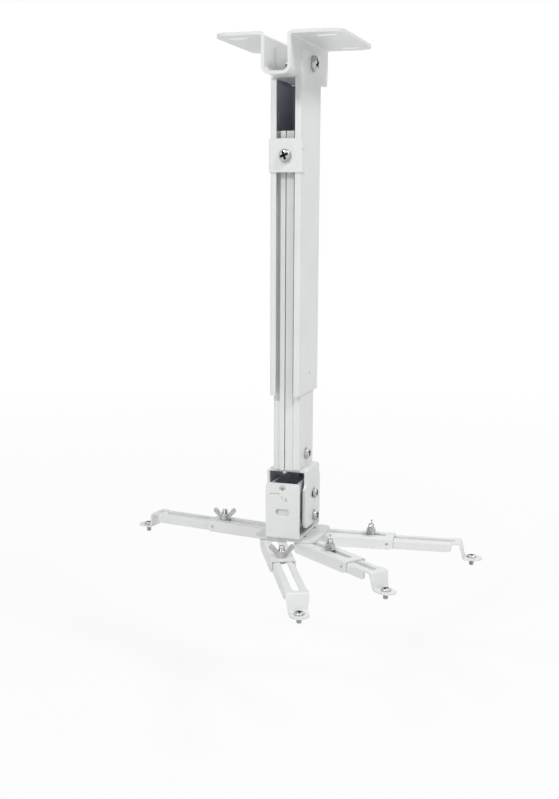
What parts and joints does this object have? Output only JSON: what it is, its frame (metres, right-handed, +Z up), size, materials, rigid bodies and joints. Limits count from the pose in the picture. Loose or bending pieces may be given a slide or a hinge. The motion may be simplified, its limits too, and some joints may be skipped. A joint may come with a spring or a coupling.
{
  "type": "ceiling mount",
  "caption": "Adjustable ceiling mount with telescopic column, tilting and swivelling head, and extending slotted arms that screw to the underside of an appliance.",
  "frame": {"origin": "on the ceiling plane, in the middle of the four ceiling slots", "axes": "+Z up to the ceiling, -Y to the front, +X to the right seen from the front"},
  "size_m": [0.3826, 0.2511, 0.4998],
  "materials": {
    "white_coat": "fine-textured white powder coat",
    "bright_zinc": "bright zinc plated",
    "zinc": "plain zinc plated",
    "black_plastic": "dark moulded nylon"
  },
  "bodies": {
    "ceiling_set": {"ceiling_bracket": "white_coat", "outer_column": "white_coat", "cross_bolt": "bright_zinc", "cross_nut": "zinc"},
    "mast": {"inner_column": "white_coat", "column_guides": "black_plastic", "clamp_clip": "white_coat", "clamp_screw": "bright_zinc", "clamp_nut_plate": "zinc", "column_plug": "white_coat", "plug_screws": "bright_zinc", "yoke_bolt": "zinc", "yoke_nut": "zinc", "head_yoke": "white_coat", "pitch_pivot_screws": "bright_zinc", "pitch_pivot_nuts": "bright_zinc"},
    "pitch_head": {"pitch_block": "white_coat", "pitch_spacers": "black_plastic", "pitch_lock_screws": "bright_zinc", "pitch_lock_nuts": "bright_zinc", "roll_lock_screw": "bright_zinc", "roll_lock_nut": "zinc"},
    "roll_head": {"roll_bracket": "white_coat", "roll_rivets": "zinc", "swivel_bolt": "zinc", "swivel_washer": "black_plastic", "swivel_nut": "zinc"},
    "hub": {"hub_plate": "white_coat", "arm_pivot_screws": "zinc"},
    "arm_a": {"outer_arm_a": "white_coat", "clamp_bolt_a": "bright_zinc"},
    "slider_a": {"inner_arm_a": "white_coat", "foot_screw_a": "bright_zinc"},
    "wing_a": {"wing_nut_a": "bright_zinc"},
    "arm_b": {"outer_arm_b": "white_coat", "clamp_bolt_b": "bright_zinc"},
    "slider_b": {"inner_arm_b": "white_coat", "foot_screw_b": "bright_zinc"},
    "wing_b": {"wing_nut_b": "bright_zinc"},
    "arm_c": {"outer_arm_c": "white_coat", "clamp_bolt_c": "bright_zinc"},
    "slider_c": {"inner_arm_c": "white_coat", "foot_screw_c": "bright_zinc"},
    "wing_c": {"wing_nut_c": "bright_zinc"},
    "arm_d": {"outer_arm_d": "white_coat", "clamp_bolt_d": "bright_zinc"},
    "slider_d": {"inner_arm_d": "white_coat", "foot_screw_d": "bright_zinc"},
    "wing_d": {"wing_nut_d": "bright_zinc"}
  },
  "joints": [
    {"name": "column_slide", "type": "slide", "parent": "ceiling_set", "child": "mast", "axis": [0, 0, 1], "range_m": [-0.156, 0.044]},
    {"name": "pitch", "type": "hinge", "parent": "mast", "child": "pitch_head", "pos_m": [0, 0.0045, -0.4535], "axis": [1, 0, 0], "range_deg": [-10, 10]},
    {"name": "roll", "type": "hinge", "parent": "pitch_head", "child": "roll_head", "pos_m": [0, 0, -0.4184], "axis": [0, 1, 0], "range_deg": [-5, 5]},
    {"name": "swivel", "type": "hinge", "parent": "roll_head", "child": "hub", "pos_m": [0, 0, -0.4712], "axis": [0, 0, 1], "continuous": true},
    {"name": "arm_a_swing", "type": "hinge", "parent": "hub", "child": "arm_a", "pos_m": [-0.017, -0.017, -0.474], "axis": [0, 0, 1], "range_deg": [-55.7, 2.3]},
    {"name": "arm_a_reach", "type": "slide", "parent": "arm_a", "child": "slider_a", "axis": [0.4337, -0.9011, 0], "range_m": [-0.056, 0]},
    {"name": "wing_nut_a_turn", "type": "hinge", "parent": "arm_a", "child": "wing_a", "pos_m": [0.01422, -0.08188, -0.474], "axis": [0, 0, 1], "continuous": true},
    {"name": "arm_b_swing", "type": "hinge", "parent": "hub", "child": "arm_b", "pos_m": [0.017, -0.017, -0.474], "axis": [0, 0, 1], "range_deg": [-22, 27]},
    {"name": "arm_b_reach", "type": "slide", "parent": "arm_b", "child": "slider_b", "axis": [0.7923, -0.6101, 0], "range_m": [-0.002, 0.026]},
    {"name": "wing_nut_b_turn", "type": "hinge", "parent": "arm_b", "child": "wing_b", "pos_m": [0.05186, -0.04385, -0.474], "axis": [0, 0, 1], "continuous": true},
    {"name": "arm_c_swing", "type": "hinge", "parent": "hub", "child": "arm_c", "pos_m": [0.017, 0.017, -0.474], "axis": [0, 0, 1], "range_deg": [-14, 69]},
    {"name": "arm_c_reach", "type": "slide", "parent": "arm_c", "child": "slider_c", "axis": [0.9945, 0.1045, 0], "range_m": [-0.035, 0.009]},
    {"name": "wing_nut_c_turn", "type": "hinge", "parent": "arm_c", "child": "wing_c", "pos_m": [0.07667, 0.02327, -0.474], "axis": [0, 0, 1], "continuous": true},
    {"name": "arm_d_swing", "type": "hinge", "parent": "hub", "child": "arm_d", "pos_m": [-0.017, 0.017, -0.474], "axis": [0, 0, 1], "range_deg": [-65, 19]},
    {"name": "arm_d_reach", "type": "slide", "parent": "arm_d", "child": "slider_d", "axis": [-0.9863, 0.165, 0], "range_m": [-0.04, 0.0135]},
    {"name": "wing_nut_d_turn", "type": "hinge", "parent": "arm_d", "child": "wing_d", "pos_m": [-0.08555, 0.02847, -0.474], "axis": [0, 0, 1], "continuous": true}
  ]
}
